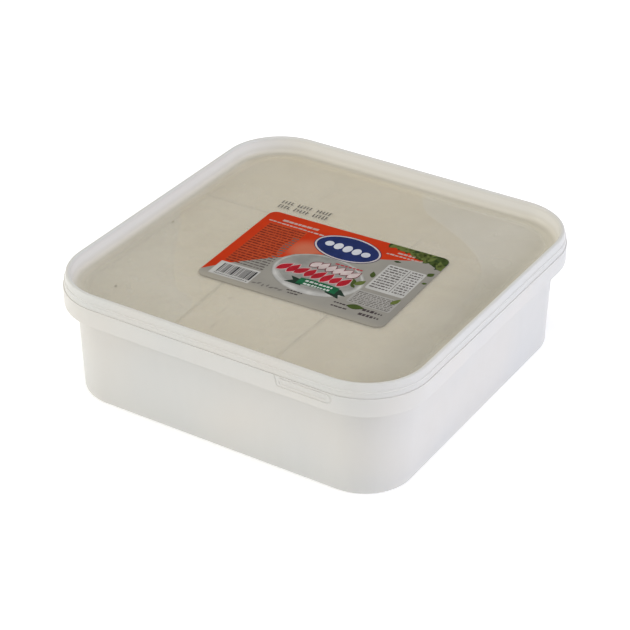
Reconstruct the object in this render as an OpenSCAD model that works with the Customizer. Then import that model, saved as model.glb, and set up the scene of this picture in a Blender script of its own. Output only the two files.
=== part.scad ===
// Square tub of white cheese in brine, shut with a press-on lid.
// Millimetres. Origin in the middle of the underside, +Z up.
// The face with the tear tab looks along -Y.
//
// Every wall is a cross-section carried round a square with rounded corners. All these
// rings share the same four corner centres, so the walls stay evenly thick at the corners.

/* [Pack] */
// Width and depth over the collar, the widest part
collar_w = 245; // [200:1:300]
// Height from the table to the top of the lid's rim
overall_h = 80; // [64:1:120]
// Corner radius, measured at the collar
corner_r = 40.8; // [30:0.2:55]

/* [Tub] */
// Thickness of the tub's walls
tub_t = 1.1; // [0.8:0.1:2]
// Thickness of the tub's floor
floor_t = 1.3; // [1:0.1:3]
// How far each wall leans outwards from its foot to its top
wall_lean = 2.2; // [0:0.1:5]
// Radius between wall and underside
foot_r = 2.2; // [1:0.1:4]
// Width of the ring that the tub stands on
foot_w = 5; // [3:0.5:10]
// How far the floor is raised inside that ring
foot_rise = 0.8; // [0.3:0.1:1.5]
// Radius inside, between wall and floor
inner_r = 4; // [2:0.5:8]

/* [Collar] */
// How far the collar stands out from the wall
collar_reach = 7.1; // [5:0.1:12]
// Height of the collar's face
collar_h = 11.8; // [8:0.1:20]
// Height of the lid's rim above the collar
rim_h = 8.6; // [6:0.1:12]
// Thickness of the collar and of the rim that the lid snaps over
collar_t = 1.2; // [0.8:0.1:1.4]
// Small bevel on the collar's edges
edge_bevel = 0.5; // [0.2:0.1:0.6]

/* [Tear tab] */
// Width of the tear tab in the collar
tab_w = 37; // [20:1:50]
// Distance from the middle of the face to the middle of the tab
tab_x = 65; // [0:1:70]
// Height of the tab below the collar's top
tab_h = 6.6; // [4:0.1:8]
// Radius of the tab's round end
tab_r = 4.6; // [2:0.1:6]
// How far the tab's straight end slants
tab_slant = 2; // [0:0.1:4]
// Width of the groove round the tab
groove_w = 0.8; // [0.4:0.1:1.2]
// Depth of that groove
groove_d = 0.5; // [0.2:0.1:0.7]

/* [Lid] */
// Thickness of the lid
lid_t = 0.9; // [0.6:0.1:1.1]
// Depth of the clear panel below the rim
recess_d = 10; // [5:0.1:14]
// Width of the rim's rounded crest
crest_w = 2.4; // [2.3:0.1:4]
// How far the crest is set back from the collar's face
crest_set = 2; // [1.6:0.1:3]
// How far the lid's lower lip is set back from the collar's face
lip_set = 0.5; // [0.3:0.1:1]
// How far the recess narrows towards the panel
recess_lean = 1.5; // [0:0.1:4]
// Radius between the recess's wall and the panel
panel_r = 1.2; // [0.5:0.1:3]
// How far the bead stands out round the lid's skirt
bead_out = 0.4; // [0.1:0.1:0.5]

/* [Label] */
// Width of the label
label_w = 127.6; // [60:0.2:180]
// Depth of the label
label_d = 91.4; // [40:0.2:150]
// Corner radius of the label
label_r = 5.5; // [1:0.5:12]
// Thickness of the label
label_t = 0.15; // [0.1:0.05:0.3]
// Where the label's middle lies to the right of the lid's
label_x = 5.8; // [-20:0.1:20]
// Where the label's middle lies behind the lid's
label_y = -4; // [-20:0.1:20]
// How far the label is turned, in degrees
label_turn = 2; // [-10:0.5:10]

/* [Cheese] */
// Gap between the cheese and the tub's wall
cheese_gap = 1.2; // [0.3:0.1:5]
// Gap between the top of the cheese and the lid
top_gap = 0.2; // [0.1:0.1:3]
// Width of the knife cuts
cut_w = 0.6; // [0.3:0.1:2]
// Where the left long cut crosses the middle line
left_cut = -39.5; // [-60:0.5:-20]
// How far the left long cut leans towards the back, in degrees
left_turn = 3; // [-6:0.5:6]
// Where the right long cut crosses the middle line
right_cut = 37; // [20:0.5:60]
// How far the right long cut leans towards the back, in degrees
right_turn = -1; // [-6:0.5:6]
// How far behind the middle line the short cut lies
short_cut = 37; // [-60:0.5:60]
// Rounding of the cheese's outer top edge
cheese_r = 3; // [0.5:0.5:5]

/* [Hidden] */
$fn = 96;
// running clearances between the snapped pieces
snap_gap = 0.25;
seat_gap = 0.4;

// half widths, from the middle of the pack
corner_c = collar_w / 2 - corner_r;
collar_out = collar_w / 2;
wall_out = collar_out - collar_reach;
foot_out = wall_out - wall_lean;
lip_out = collar_out - lip_set;
crest_out = collar_out - crest_set;
crest_in = crest_out - crest_w;
panel_out = crest_in - recess_lean;

// heights
seam_z = overall_h - rim_h;
collar_z = seam_z - collar_h;
floor_z = foot_rise + floor_t;
panel_z = overall_h - recess_d;
panel_under_z = panel_z - lid_t;
ledge_z = panel_under_z - seat_gap;
ledge_under_z = ledge_z - tub_t;
lip_z = seam_z + snap_gap;
crest_r = crest_w / 2;
crest_z = overall_h - crest_r;
bead_z = seam_z + 0.42 * rim_h;

// the upright rim of the tub fills the lid's channel, less a clearance
rise_out = crest_out - lid_t + snap_gap;
rise_in = max(rise_out - collar_t, crest_in + lid_t - 2 * snap_gap);
rise_z = crest_z - 2 * lid_t;
rise_bevel = (rise_out - rise_in) / 4;

cheese_z = panel_under_z - top_gap;
slab_big = collar_w;

// points of an arc, from one angle to another
function arc(x, z, r, from, to, steps = 6) =
    [for (i = [0 : steps]) let (a = from + (to - from) * i / steps) [x + r * cos(a), z + r * sin(a)]];

// half width of the tub's inner wall at a height
function inner_at(z) = foot_out - tub_t + wall_lean * (z - foot_r) / (ledge_under_z - foot_r);

// A ring: the cross-section, given as [half width, height], goes round the rounded square.
module ring(points) {
    section = [for (p = points) [p[0] - corner_c, p[1]]];
    for (turn = [0 : 90 : 270])
        rotate([0, 0, turn])
            translate([corner_c, corner_c, 0]) {
                rotate_extrude(angle = 90)
                    polygon(section);
                rotate([90, 0, 0])
                    linear_extrude(2 * corner_c)
                        polygon(section);
            }
}

// A square plate that closes the middle of a ring.
module middle(z0, z1) {
    translate([-corner_c, -corner_c, z0])
        cube([2 * corner_c, 2 * corner_c, z1 - z0]);
}

module tub_body() {
    ring(concat(
        [[corner_c, foot_rise], [foot_out - foot_w - foot_rise, foot_rise], [foot_out - foot_w, 0]],
        arc(foot_out - foot_r, foot_r, foot_r, -90, 0),
        [
            [wall_out, ledge_under_z],
            [rise_out, ledge_under_z],
            [rise_out, seam_z - collar_t],
            [collar_out - collar_t, seam_z - collar_t],
            [collar_out - collar_t, collar_z],
            [collar_out - edge_bevel, collar_z],
            [collar_out, collar_z + edge_bevel],
            [collar_out, seam_z - edge_bevel],
            [collar_out - edge_bevel, seam_z],
            [rise_out, seam_z],
            [rise_out, rise_z - rise_bevel],
            [rise_out - rise_bevel, rise_z],
            [rise_in + rise_bevel, rise_z],
            [rise_in, rise_z - rise_bevel],
            [rise_in, ledge_z],
            [inner_at(ledge_z), ledge_z]
        ],
        arc(inner_at(floor_z) - inner_r, floor_z + inner_r, inner_r, 0, -90),
        [[corner_c, floor_z]]
    ));
    middle(foot_rise, floor_z);
}

// The groove round the tear tab: a slanted end, a straight foot and a round end.
module tab_groove() {
    deep = 2 * groove_d;
    left = tab_x - tab_w / 2;
    right = tab_x + tab_w / 2;
    foot_z = seam_z - tab_h;
    translate([left + tab_slant, -collar_out - groove_d, foot_z])
        cube([tab_w - tab_slant - tab_r, deep, groove_w]);
    translate([left + tab_slant, -collar_out - groove_d, foot_z])
        rotate([0, -atan(tab_slant / tab_h), 0])
            cube([groove_w, deep, 1.2 * tab_h]);
    translate([right - tab_r, -collar_out + groove_d, foot_z + tab_r])
        rotate([90, 0, 0])
            rotate([0, 0, -90])
                rotate_extrude(angle = 90)
                    translate([tab_r - groove_w, 0])
                        square([groove_w, deep]);
    translate([right - groove_w, -collar_out - groove_d, foot_z + tab_r])
        cube([groove_w, deep, tab_h]);
}

module tub() {
    color("whitesmoke")
        difference() {
            tub_body();
            tab_groove();
        }
}

module lid() {
    color("mintcream") {
        ring(concat(
            [[corner_c, panel_z]],
            arc(panel_out - panel_r, panel_z + panel_r, panel_r, -90, -10, 4),
            arc(crest_out - crest_r, crest_z, crest_r, 180, 0, 10),
            [
                [lip_out - bead_out, bead_z + bead_out],
                [lip_out, bead_z],
                [lip_out - bead_out / 2, bead_z - bead_out],
                [lip_out, lip_z],
                [lip_out - lid_t, lip_z],
                [crest_out - lid_t / 2, bead_z],
                [crest_out - lid_t / 2, rise_z],
                [rise_out - rise_bevel, crest_z - lid_t / 2],
                [rise_in + rise_bevel, crest_z - lid_t / 2],
                [crest_in + lid_t - snap_gap * 2, rise_z],
                [panel_out + lid_t, panel_z + panel_r],
                [panel_out + lid_t - panel_r, panel_under_z],
                [corner_c, panel_under_z]
            ]
        ));
        middle(panel_under_z, panel_z);
    }
}

module label() {
    color("orangered")
        translate([label_x, label_y, panel_z])
            rotate([0, 0, label_turn])
                linear_extrude(label_t)
                    union() {
                        square([label_w - 2 * label_r, label_d], center = true);
                        square([label_w, label_d - 2 * label_r], center = true);
                        for (x = [-1, 1], y = [-1, 1])
                            translate([x * (label_w / 2 - label_r), y * (label_d / 2 - label_r)])
                                circle(label_r);
                    }
}

// All the cheese, set in the tub before it is cut.
module cheese_mass() {
    side_at_foot = inner_at(floor_z) - cheese_gap;
    side_at_top = inner_at(cheese_z) - cheese_gap;
    ring(concat(
        [[corner_c, floor_z]],
        arc(side_at_foot - inner_r, floor_z + inner_r, inner_r, -90, 0),
        arc(side_at_top - cheese_r, cheese_z - cheese_r, cheese_r, 0, 90, 3),
        [[corner_c, cheese_z]]
    ));
    middle(floor_z, cheese_z);
}

// The half of everything that lies to the right of a long cut, or to its left when side is -1.
module beside_cut(at, turn, side) {
    translate([at, 0, 0])
        rotate([0, 0, turn])
            translate([side > 0 ? cut_w / 2 : -cut_w / 2 - slab_big, -slab_big, 0])
                cube([slab_big, 2 * slab_big, overall_h]);
}

// The half of everything behind the short cut, or in front of it when side is -1.
module across_cut(side) {
    translate([-slab_big, side > 0 ? short_cut + cut_w / 2 : short_cut - cut_w / 2 - slab_big, 0])
        cube([2 * slab_big, slab_big, overall_h]);
}

module cheese_left() {
    color("cornsilk")
        intersection() {
            cheese_mass();
            beside_cut(left_cut, left_turn, -1);
            across_cut(-1);
        }
}

module cheese_corner() {
    color("cornsilk")
        intersection() {
            cheese_mass();
            beside_cut(left_cut, left_turn, -1);
            across_cut(1);
        }
}

module cheese_middle() {
    color("cornsilk")
        intersection() {
            cheese_mass();
            beside_cut(left_cut, left_turn, 1);
            beside_cut(right_cut, right_turn, -1);
        }
}

module cheese_right() {
    color("cornsilk")
        intersection() {
            cheese_mass();
            beside_cut(right_cut, right_turn, 1);
        }
}

tub();
lid();
label();
cheese_left();
cheese_corner();
cheese_middle();
cheese_right();
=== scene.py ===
"""Square tub of white cheese in brine, shut with a press-on lid that carries a label.

Shapes are worked out in millimetres, in the CAD model's frame, and scaled to metres
when a piece is made. Every wall is a cross-section carried round a square with rounded
corners, as in the CAD model. The print is made of thin fields, bars and drops of ink.
"""

import math
import random

import bmesh
import bpy
from mathutils import Matrix, Vector, noise


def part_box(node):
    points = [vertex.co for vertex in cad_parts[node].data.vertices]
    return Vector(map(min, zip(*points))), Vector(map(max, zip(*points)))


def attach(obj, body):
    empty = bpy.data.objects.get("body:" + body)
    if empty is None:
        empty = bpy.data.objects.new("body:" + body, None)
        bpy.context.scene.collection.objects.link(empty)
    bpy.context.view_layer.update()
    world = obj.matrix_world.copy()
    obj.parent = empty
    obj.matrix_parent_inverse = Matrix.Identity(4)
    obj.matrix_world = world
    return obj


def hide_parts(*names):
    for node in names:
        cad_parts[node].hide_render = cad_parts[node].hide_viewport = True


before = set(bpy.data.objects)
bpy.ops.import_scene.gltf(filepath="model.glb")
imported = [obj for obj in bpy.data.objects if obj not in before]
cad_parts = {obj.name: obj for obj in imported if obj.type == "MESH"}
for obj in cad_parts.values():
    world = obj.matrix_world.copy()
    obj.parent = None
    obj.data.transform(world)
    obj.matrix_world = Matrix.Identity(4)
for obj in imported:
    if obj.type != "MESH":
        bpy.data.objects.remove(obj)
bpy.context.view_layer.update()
scene = bpy.context.scene

MM = 0.001
BODY = "root"


def box_mm(node):
    """The lowest and highest corner of a CAD node, in millimetres."""
    low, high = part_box(node)
    return low / MM, high / MM


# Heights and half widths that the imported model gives
TUB_HIGH = box_mm("tub")[1]
LID_LOW, LID_HIGH = box_mm("lid")
LABEL_LOW, LABEL_HIGH = box_mm("label")
CHEESE_LOW = box_mm("cheese_middle")[0]
COLLAR_OUT = TUB_HIGH.x
LID_OUT = LID_HIGH.x
TOP_Z = LID_HIGH.z
PANEL_Z = LABEL_LOW.z
PANEL_UNDER_Z = LID_LOW.z
FLOOR_Z = CHEESE_LOW.z

# Sizes that the CAD source names, in millimetres
CORNER_R = 40.8
COLLAR_REACH = 7.1
COLLAR_H = 11.8
COLLAR_T = 1.2
WALL_LEAN = 2.2
TUB_T = 1.1
FOOT_W = 5.0
FOOT_R = 2.2
FOOT_RISE = 0.8
INNER_R = 4.0
RIM_H = 8.6
SEAT_GAP = 0.4
CREST_SET = 2.0
CREST_W = 2.4
RECESS_LEAN = 1.5
BEAD_SHARE = 0.42
# The tub's upright rim: its set-back inside the crest, and how far it ends below the top
RISE_SET = 0.65
RISE_DROP = 3.0

# Half widths and heights that follow from them
CORNER = COLLAR_OUT - CORNER_R
WALL_OUT = COLLAR_OUT - COLLAR_REACH
FOOT_OUT = WALL_OUT - WALL_LEAN
SEAM_Z = TOP_Z - RIM_H
COLLAR_Z = SEAM_Z - COLLAR_H
LEDGE_Z = PANEL_UNDER_Z - SEAT_GAP
CREST_OUT = COLLAR_OUT - CREST_SET
CREST_IN = CREST_OUT - CREST_W
PANEL_OUT = CREST_IN - RECESS_LEAN
BEAD_Z = SEAM_Z + BEAD_SHARE * RIM_H
RISE_OUT = CREST_OUT - RISE_SET
RISE_IN = RISE_OUT - COLLAR_T
RISE_Z = TOP_Z - RISE_DROP

# The tear tab and the label
TAB_X = 65.0
TAB_W = 37.0
TAB_H = 6.6
LABEL_W = 127.6
LABEL_D = 91.4
LABEL_R = 5.5
LABEL_T = 0.15
LABEL_TURN = math.radians(2)

# How far the middle of the panel sags
SAG = 0.3

# Two faces that meet at more than this many degrees get a sharp edge
SHARP = 38
TUB_SHARP = 25

# Steps round the rings
SIDE_STEPS = 36
CORNER_STEPS = 20


# --- mesh helpers

def clamp(value):
    return max(0.0, min(1.0, value))


def sag_at(x, y):
    """How far the panel lies below its edge at a place."""
    across = max(0.0, 1 - (x / PANEL_OUT) ** 2)
    along = max(0.0, 1 - (y / PANEL_OUT) ** 2)
    return SAG * across * along


def sag(bm):
    """Lets a mesh follow the panel's sag."""
    for v in bm.verts:
        v.co.z -= sag_at(v.co.x, v.co.y)


def turned(u, v, points, degrees):
    """Points about a middle, turned and moved to it."""
    c = math.cos(math.radians(degrees))
    s = math.sin(math.radians(degrees))
    return [(u + x * c - y * s, v + x * s + y * c) for x, y in points]


def rounded(corners, steps=4, guard=0.2):
    """A cross-section from corners (half width, height, radius), with each corner rounded.

    A guard point just before and after each arc keeps the shading of the flats flat.
    """
    points = []
    for i, (x, z, radius) in enumerate(corners):
        here = Vector((x, z))
        if radius == 0:
            points.append(here)
            continue
        to_last = Vector(corners[i - 1][:2]) - here
        to_next = Vector(corners[(i + 1) % len(corners)][:2]) - here
        half = to_last.angle(to_next) / 2
        reach = min(radius / math.tan(half), 0.48 * to_last.length, 0.48 * to_next.length)
        to_last.normalize()
        to_next.normalize()
        centre = here + (to_last + to_next).normalized() * (reach / math.cos(half))
        start = here + to_last * reach - centre
        end = here + to_next * reach - centre
        sweep = start.angle_signed(end)
        if guard:
            points.append(here + to_last * (reach + min(guard, 0.1 * reach)))
        for k in range(steps + 1):
            turn = Matrix.Rotation(-sweep * k / steps, 2)
            points.append(centre + turn @ start)
        if guard:
            points.append(here + to_next * (reach + min(guard, 0.1 * reach)))
    return points


def stretch(start, end, steps):
    """Points that divide a straight part of a cross-section, without its two ends."""
    a = Vector(start)
    b = Vector(end)
    return [tuple(a.lerp(b, k / steps)) + (0,) for k in range(1, steps)]


def ring_loop(half):
    """The points of a square with rounded corners, which share four corner centres."""
    radius = half - CORNER
    points = []
    for quarter in range(4):
        base = quarter * math.pi / 2
        spin = Matrix.Rotation(base, 2)
        for k in range(CORNER_STEPS + 1):
            a = math.pi / 2 * k / CORNER_STEPS
            place = (CORNER + radius * math.cos(a), CORNER + radius * math.sin(a))
            points.append(spin @ Vector(place))
        for k in range(1, SIDE_STEPS):
            x = CORNER - 2 * CORNER * k / SIDE_STEPS
            points.append(spin @ Vector((x, half)))
    return points


def swept(section):
    """A closed shell: the section goes round the rounded square, and grids close its ends."""
    bm = bmesh.new()
    loops = [[bm.verts.new((p.x, p.y, z)) for p in ring_loop(half)] for half, z in section]
    count = len(loops[0])
    for low, high in zip(loops, loops[1:]):
        for i in range(count):
            j = (i + 1) % count
            bm.faces.new((low[i], low[j], high[j], high[i]))
    for _, z in (section[0], section[-1]):
        add_grid(bm, z)
    bmesh.ops.remove_doubles(bm, verts=bm.verts, dist=0.0005)
    return bm


def add_grid(bm, z):
    """The square between the corner centres, at one height."""
    places = [-CORNER + 2 * CORNER * k / SIDE_STEPS for k in range(SIDE_STEPS + 1)]
    rows = [[bm.verts.new((x, y, z)) for x in places] for y in places]
    for low, high in zip(rows, rows[1:]):
        for i in range(SIDE_STEPS):
            bm.faces.new((low[i], low[i + 1], high[i + 1], high[i]))


def half_at(x, y):
    """The half width of the ring that passes through a place."""
    over_x = abs(x) - CORNER
    over_y = abs(y) - CORNER
    if over_x > 0 and over_y > 0:
        return CORNER + math.hypot(over_x, over_y)
    return max(abs(x), abs(y))


def shade(mesh, angle=SHARP):
    """Smooth shading with sharp edges where two faces meet at more than an angle."""
    for face in mesh.polygons:
        face.use_smooth = True
    mesh.set_sharp_from_angle(angle=math.radians(angle))


def to_object(name, bm):
    """Scales a mesh to metres and puts it in the scene."""
    bmesh.ops.scale(bm, vec=(MM, MM, MM), verts=bm.verts)
    bmesh.ops.recalc_face_normals(bm, faces=bm.faces)
    mesh = bpy.data.meshes.new(name)
    bm.to_mesh(mesh)
    bm.free()
    obj = bpy.data.objects.new(name, mesh)
    scene.collection.objects.link(obj)
    return obj


def settle(obj):
    """Makes an object's modifiers part of its mesh."""
    bpy.context.view_layer.update()
    graph = bpy.context.evaluated_depsgraph_get()
    final = bpy.data.meshes.new_from_object(obj.evaluated_get(graph))
    obj.modifiers.clear()
    obj.data = final


def dress(obj, material, slot, *nodes):
    """Gives a piece its material, its body and the CAD nodes that it stands for; the slot is not
    used.
    """
    shade(obj.data)
    obj.data.materials.clear()
    obj.data.materials.append(material)
    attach(obj, BODY)
    if nodes:
        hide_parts(*nodes)
    return obj


def paint(obj, name, value_at):
    """Stores a value on every point, worked out from the point's place in millimetres."""
    layer = obj.data.attributes.new(name, "FLOAT", "POINT")
    layer.data.foreach_set("value", [value_at(v.co / MM) for v in obj.data.vertices])


def smooth_line(points, steps=8, closed=False):
    """A smooth curve through a few points."""
    ends = points if closed else [points[0]] + list(points) + [points[-1]]
    count = len(points) if closed else len(points) - 1
    curve = []
    for i in range(count):
        if closed:
            a, b, c, d = (Vector(ends[(i + k) % count]) for k in (-1, 0, 1, 2))
        else:
            a, b, c, d = (Vector(ends[i + k]) for k in range(4))
        for k in range(steps):
            t = k / steps
            curve.append(0.5 * (2 * b + (c - a) * t + (2 * a - 5 * b + 4 * c - d) * t ** 2
                                + (3 * b - 3 * c + d - a) * t ** 3))
    if not closed:
        curve.append(Vector(points[-1]))
    return curve


def distance_to(point, line):
    """The distance from a point to a line of straight pieces."""
    best = math.inf
    for a, b in zip(line, line[1:]):
        along = b - a
        share = clamp((point - a).dot(along) / max(along.length_squared, 1e-9))
        best = min(best, (a + along * share - point).length)
    return best


def inside(point, outline):
    """Whether a point lies inside a closed outline."""
    odd = False
    for a, b in zip(outline, outline[1:] + outline[:1]):
        if (a[1] > point[1]) != (b[1] > point[1]):
            cross = a[0] + (point[1] - a[1]) / (b[1] - a[1]) * (b[0] - a[0])
            odd ^= point[0] < cross
    return odd


# --- material helpers

def linear(rgb):
    """A colour given as 0 to 255 in sRGB, as linear values with alpha."""
    def channel(value):
        share = value / 255
        return share / 12.92 if share <= 0.04045 else ((share + 0.055) / 1.055) ** 2.4
    return tuple(channel(value) for value in rgb) + (1.0,)


class Finish:
    """A material with one Principled shader, and short ways to feed it."""

    def __init__(self, name, roughness, ior=1.49, gloss=None):
        self.material = bpy.data.materials.new(name)
        self.material.use_nodes = True
        self.tree = self.material.node_tree
        self.shader = self.tree.nodes["Principled BSDF"]
        self.shader.inputs["Roughness"].default_value = roughness
        self.shader.inputs["IOR"].default_value = ior
        if gloss is not None:
            self.shader.inputs["Specular IOR Level"].default_value = gloss
        self.coordinates = self.add("ShaderNodeTexCoord").outputs["Object"]

    def add(self, kind, **settings):
        node = self.tree.nodes.new(kind)
        for key, value in settings.items():
            setattr(node, key, value)
        return node

    def link(self, source, target):
        self.tree.links.new(source, target)

    def feed(self, socket, source):
        self.link(source, self.shader.inputs[socket])

    def noise(self, size, detail=2.0, stretched=(1, 1, 1), seed=0.0):
        """Noise whose lumps are about size millimetres across, from 0 to 1."""
        mapping = self.add("ShaderNodeMapping")
        mapping.inputs["Scale"].default_value = stretched
        mapping.inputs["Location"].default_value = (seed, seed, seed)
        self.link(self.coordinates, mapping.inputs["Vector"])
        texture = self.add("ShaderNodeTexNoise")
        texture.inputs["Scale"].default_value = 1 / (size * MM)
        texture.inputs["Detail"].default_value = detail
        self.link(mapping.outputs["Vector"], texture.inputs["Vector"])
        return texture.outputs["Fac"]

    def range(self, value, low, high, to_low=0.0, to_high=1.0, smooth=False):
        node = self.add("ShaderNodeMapRange")
        if smooth:
            node.interpolation_type = "SMOOTHSTEP"
        self.link(value, node.inputs["Value"])
        for socket, number in zip(("From Min", "From Max", "To Min", "To Max"),
                                  (low, high, to_low, to_high)):
            node.inputs[socket].default_value = number
        return node.outputs["Result"]

    def patches(self, size, low, high, to_low=0.0, to_high=1.0, **kind):
        """Noise between two levels, stretched over a range."""
        return self.range(self.noise(size, **kind), low, high, to_low, to_high)

    def mix(self, share, a, b):
        """A colour between a and b: each a socket, sRGB, or linear with alpha."""
        node = self.add("ShaderNodeMix", data_type="RGBA")
        self.link(share, node.inputs["Factor"])
        for value, socket in ((a, node.inputs[6]), (b, node.inputs[7])):
            if isinstance(value, (tuple, list)):
                socket.default_value = value if len(value) == 4 else linear(value)
            else:
                self.link(value, socket)
        return node.outputs[2]

    def math(self, operation, a, b):
        node = self.add("ShaderNodeMath", operation=operation)
        for value, socket in ((a, node.inputs[0]), (b, node.inputs[1])):
            if isinstance(value, (int, float)):
                socket.default_value = value
            else:
                self.link(value, socket)
        return node.outputs[0]

    def attribute(self, name):
        return self.add("ShaderNodeAttribute", attribute_name=name).outputs["Fac"]

    def height(self, axis="Z"):
        """A coordinate of the point that is shaded, in metres."""
        split = self.add("ShaderNodeSeparateXYZ")
        self.link(self.coordinates, split.inputs["Vector"])
        return split.outputs[axis]

    def bump(self, height, depth, strength=1.0):
        """Relief whose full depth is given in millimetres."""
        node = self.add("ShaderNodeBump")
        node.inputs["Strength"].default_value = strength
        node.inputs["Distance"].default_value = depth * MM
        self.link(height, node.inputs["Height"])
        self.feed("Normal", node.outputs["Normal"])

    def spread(self, weight, radius, scale=1.0):
        """Light that scatters below the surface. The radius is in millimetres."""
        self.shader.inputs["Subsurface Weight"].default_value = weight
        self.shader.inputs["Subsurface Radius"].default_value = [r * MM for r in radius]
        self.shader.inputs["Subsurface Scale"].default_value = scale


# --- materials

LID_GLOSS = 0.3
INK_GLOSS = 0.05
FLOOR_GLOW = 0.33
# How much the panel and the film hide what lies below them
PANEL_ALPHA = 0.3
WET_ALPHA = 0.26
DRY_ALPHA = 0.3

# Colours, as 0 to 255 in sRGB
# Painted light: the recess's wall is lighter, for light through the thin rim and off the panel
RECESS_WALL_LIT = (243, 241, 235)
# Painted shade: the wall's foot is darker, for the shaded tub rim behind it, and brine-tinted
RECESS_FOOT_SHADE = (222, 217, 203)
TUB_WARM = (212, 209, 202)
TUB_COOL = (207, 207, 203)
TUB_FOOT = (200, 201, 198)
TUB_STREAK = (214, 213, 208)
RIM_WARM = (213, 210, 203)
RIM_COOL = (211, 211, 206)
MIST_A = (234, 229, 213)
MIST_B = (229, 223, 205)
WET_LEFT = (226, 216, 188)
WET_RIGHT = (220, 211, 188)
DRY_LEFT = (220, 217, 203)
DRY_RIGHT = (224, 222, 214)
SHORE_LINE = (228, 222, 202)
SMEAR = (176, 163, 134)
# Painted shade by the panel's right edge, where the rim shades it
PAINTED_EDGE_SHADE = (168, 164, 152)
CHEESE_PALE = (247, 241, 222)
CHEESE_DEEP = (240, 231, 206)
CHEESE_PIT = (222, 210, 180)
ORANGE = (190, 50, 4)
ORANGE_DEEP = (180, 44, 3)
GLOW = (186, 108, 80)
GREY_NEAR_EDGE = (164, 158, 143)


def tub_plastic():
    """Milky moulded plastic: faint warm and grey clouds, greyer towards the foot."""
    finish = Finish("tub_plastic", roughness=0.34)
    clouds = finish.patches(70, 0.35, 0.65, detail=1.0)
    body = finish.mix(clouds, TUB_COOL, TUB_WARM)
    low = finish.range(finish.height(), 0.0, 0.03, 0.25, 0.0, smooth=True)
    body = finish.mix(low, body, TUB_FOOT)
    streaks = finish.patches(7, 0.3, 0.7, 0.0, 0.18, detail=3.0, stretched=(1, 1, 0.25), seed=3.0)
    finish.feed("Base Color", finish.mix(streaks, body, TUB_STREAK))
    finish.feed("Roughness", finish.patches(12, 0.3, 0.7, 0.3, 0.4, detail=3.0, seed=5.0))
    finish.bump(finish.noise(1.6, detail=3.0), depth=0.03, strength=0.5)
    finish.spread(0.15, (4.0, 3.7, 3.3))
    return finish.material


def lid_plastic():
    """One moulding: white over the tub's rim, and clear and misty over the cheese."""
    finish = Finish("lid_plastic", roughness=0.2, gloss=LID_GLOSS)
    clear = finish.attribute("clear")
    clouds = finish.patches(45, 0.35, 0.65, detail=1.0)
    rim = finish.mix(clouds, RIM_COOL, RIM_WARM)
    veil = finish.patches(38, 0.3, 0.7, seed=2.0)
    mist = finish.mix(veil, MIST_A, MIST_B)
    # Painted light on the recess's wall, and painted shade at its foot
    rim = finish.mix(finish.attribute("recess"), rim, RECESS_WALL_LIT)
    rim = finish.mix(finish.attribute("foot"), rim, RECESS_FOOT_SHADE)
    finish.feed("Base Color", finish.mix(clear, rim, mist))
    thin, thick = PANEL_ALPHA - 0.03, PANEL_ALPHA + 0.03
    haze = finish.patches(30, 0.3, 0.7, thin, thick, detail=4.0, seed=7.0)
    see = finish.add("ShaderNodeMix", data_type="FLOAT")
    see.inputs["A"].default_value = 1.0
    finish.link(clear, see.inputs["Factor"])
    finish.link(haze, see.inputs["B"])
    finish.feed("Alpha", see.outputs["Result"])
    finish.feed("Roughness", finish.patches(9, 0.3, 0.7, 0.16, 0.27, detail=3.0, seed=4.0))
    finish.bump(finish.noise(2.2, detail=2.0, seed=1.0), depth=0.02, strength=0.4)
    return finish.material


def brine_look():
    """Brine and mist between cheese and lid: yellow where wet, grey where only misted, with
    painted shade by the right edge.
    """
    finish = Finish("brine", roughness=0.12, ior=1.34)
    shore = finish.attribute("shore")
    wobble = finish.patches(5, 0.0, 1.0, -0.5, 0.5)
    shore = finish.math("ADD", shore, wobble)
    wet = finish.range(shore, -0.6, 0.6, smooth=True)
    right = finish.range(finish.height("X"), 0.0, 0.06, smooth=True)
    wet_colour = finish.mix(right, WET_LEFT, WET_RIGHT)
    dry_colour = finish.mix(right, DRY_LEFT, DRY_RIGHT)
    colour = finish.mix(wet, dry_colour, wet_colour)
    off_line = finish.math("ABSOLUTE", finish.math("ADD", shore, 0.2), 0.0)
    line = finish.range(off_line, 0.3, 1.6, 0.25, 0.0, smooth=True)
    colour = finish.mix(line, colour, SHORE_LINE)
    # Painted shade: darker, denser film by the right edge, towards the front, where the rim
    # shades the panel
    beside = finish.range(finish.height("X"), 0.07, 0.105, smooth=True)
    behind = finish.range(finish.height("Y"), 0.02, 0.085, 1.0, 0.0, smooth=True)
    rim_shade = finish.math("MULTIPLY", beside, behind)
    colour = finish.mix(rim_shade, colour, PAINTED_EDGE_SHADE)
    smear = finish.range(finish.attribute("smear"), 0.2, 1.6, 0.8, 0.0, smooth=True)
    finish.feed("Base Color", finish.mix(smear, colour, SMEAR))
    clouds = finish.patches(16, 0.3, 0.7, -0.04, 0.04, detail=3.0, seed=6.0)
    alpha = finish.math("ADD", finish.range(wet, 0.0, 1.0, DRY_ALPHA, WET_ALPHA), clouds)
    extra = finish.math("MAXIMUM", finish.math("MULTIPLY", line, 0.07),
                        finish.math("MULTIPLY", smear, 0.2))
    extra = finish.math("ADD", extra, finish.math("MULTIPLY", rim_shade, 0.12))
    edge = finish.range(finish.attribute("edge"), 105, 112, 0.0, 0.5, smooth=True)
    towards_back = finish.range(finish.height("Y"), 0.0, 0.1, 0.0, 0.22, smooth=True)
    edge = finish.math("ADD", edge, towards_back)
    finish.feed("Alpha", finish.math("ADD", finish.math("ADD", alpha, extra), edge))
    finish.feed("Roughness", finish.range(wet, 0.0, 1.0, 0.4, 0.1))
    return finish.material


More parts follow.
